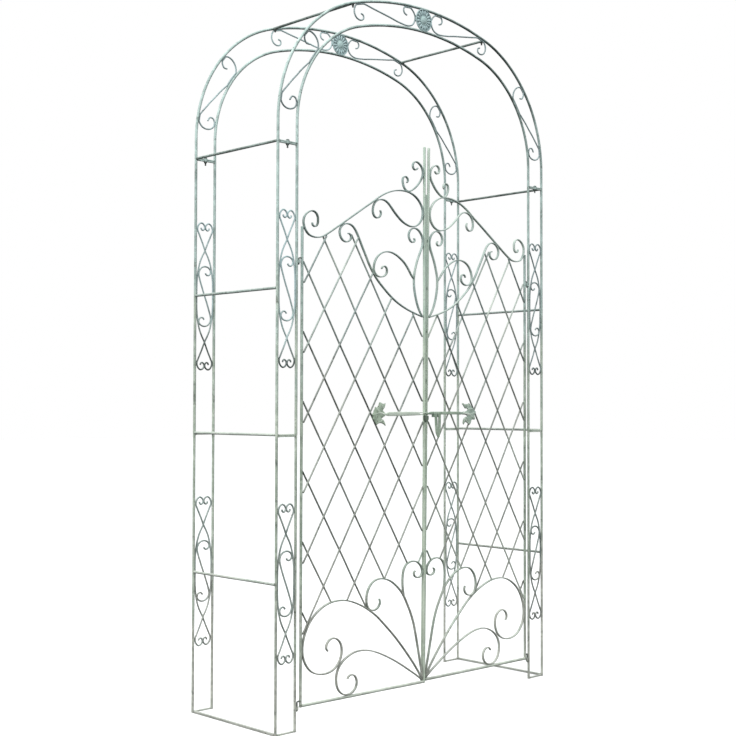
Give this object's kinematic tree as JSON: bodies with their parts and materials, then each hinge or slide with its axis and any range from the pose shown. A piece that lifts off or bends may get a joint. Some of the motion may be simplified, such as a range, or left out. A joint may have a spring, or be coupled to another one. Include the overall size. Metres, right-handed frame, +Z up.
{
  "type": "garden arch with gate",
  "caption": "Tall round-topped wrought garden arch with scrolled legs and hoops, side rungs, and a pair of lattice gate leaves on hook hinges, closed by a sliding latch with cast leaves.",
  "frame": {"origin": "centre of the bounding box at ground level, midway between the legs and between the front and rear frames", "axes": "+Z up, the gate faces -Y, +X to the right seen from the gate side"},
  "size_m": [1.375, 0.4942, 2.507],
  "materials": {
    "leg_paint": "matt sage green paint, brushed with off-white and rubbed back to grey-brown on edges",
    "hoop_paint": "matt grey-green paint, paler on top and dark green-black underneath",
    "rung_paint": "worn grey-green paint with dark undersides",
    "ornament_paint": "thin bluish-grey distressed paint on bent wire",
    "stile_paint": "matt sage green distressed paint",
    "gate_scroll_paint": "matt sage green distressed paint on flat bar",
    "lattice_paint": "thin grey-green paint rubbed back to brown-grey",
    "casting_paint": "green distressed paint on a casting, darker in the hollows",
    "hardware_paint": "dark green-grey paint, chipped"
  },
  "bodies": {
    "arch_frame": {"left_front_lower_leg": "leg_paint", "left_front_upper_leg": "leg_paint", "left_front_lower_leg_scroll": "ornament_paint", "left_front_upper_leg_scroll": "ornament_paint", "left_rear_lower_leg": "leg_paint", "left_rear_upper_leg": "leg_paint", "left_rear_lower_leg_scroll": "ornament_paint", "left_rear_upper_leg_scroll": "ornament_paint", "right_front_lower_leg": "leg_paint", "right_front_upper_leg": "leg_paint", "right_front_lower_leg_scroll": "ornament_paint", "right_front_upper_leg_scroll": "ornament_paint", "right_rear_lower_leg": "leg_paint", "right_rear_upper_leg": "leg_paint", "right_rear_lower_leg_scroll": "ornament_paint", "right_rear_upper_leg_scroll": "ornament_paint", "front_hoop": "hoop_paint", "front_left_shoulder_scroll": "ornament_paint", "front_right_shoulder_scroll": "ornament_paint", "front_crown_scrollwork": "ornament_paint", "rear_hoop": "hoop_paint", "rear_left_shoulder_scroll": "ornament_paint", "rear_right_shoulder_scroll": "ornament_paint", "rear_crown_scrollwork": "ornament_paint", "front_left_joint_bolt": "hardware_paint", "front_right_joint_bolt": "hardware_paint", "rear_left_joint_bolt": "hardware_paint", "rear_right_joint_bolt": "hardware_paint", "left_base_rung": "rung_paint", "left_lower_side_rung": "rung_paint", "left_middle_side_rung": "rung_paint", "left_upper_side_rung": "rung_paint", "left_top_side_rung": "rung_paint", "left_arch_rung": "rung_paint", "right_base_rung": "rung_paint", "right_lower_side_rung": "rung_paint", "right_middle_side_rung": "rung_paint", "right_upper_side_rung": "rung_paint", "right_top_side_rung": "rung_paint", "right_arch_rung": "rung_paint"},
    "left_leaf": {"left_gate_hinge_stile": "stile_paint", "left_gate_meeting_stile": "stile_paint", "left_gate_bottom_rail": "stile_paint", "left_gate_top_scroll": "gate_scroll_paint", "left_gate_heart_scroll": "gate_scroll_paint", "left_gate_fan_scroll": "gate_scroll_paint", "left_gate_lattice": "lattice_paint", "left_upper_hinge_hook": "hardware_paint", "left_lower_hinge_hook": "hardware_paint"},
    "right_leaf": {"right_gate_hinge_stile": "stile_paint", "right_gate_meeting_stile": "stile_paint", "right_gate_bottom_rail": "stile_paint", "right_gate_top_scroll": "gate_scroll_paint", "right_gate_heart_scroll": "gate_scroll_paint", "right_gate_fan_scroll": "gate_scroll_paint", "right_gate_lattice": "lattice_paint", "right_upper_hinge_hook": "hardware_paint", "right_lower_hinge_hook": "hardware_paint", "latch_keeper": "casting_paint"},
    "latch": {"latch_bar": "casting_paint"}
  },
  "joints": [
    {"name": "left_leaf_hinge", "type": "hinge", "parent": "arch_frame", "child": "left_leaf", "pos_m": [-0.591, -0.20644, 0.85], "axis": [0, 0, -1], "range_deg": [-80, 98]},
    {"name": "right_leaf_hinge", "type": "hinge", "parent": "arch_frame", "child": "right_leaf", "pos_m": [0.591, -0.20644, 0.85], "axis": [0, 0, 1], "range_deg": [-80, 98]},
    {"name": "latch_slide", "type": "slide", "parent": "left_leaf", "child": "latch", "axis": [0.9995, -0.0314, 0], "range_m": [0, 0.03]}
  ]
}
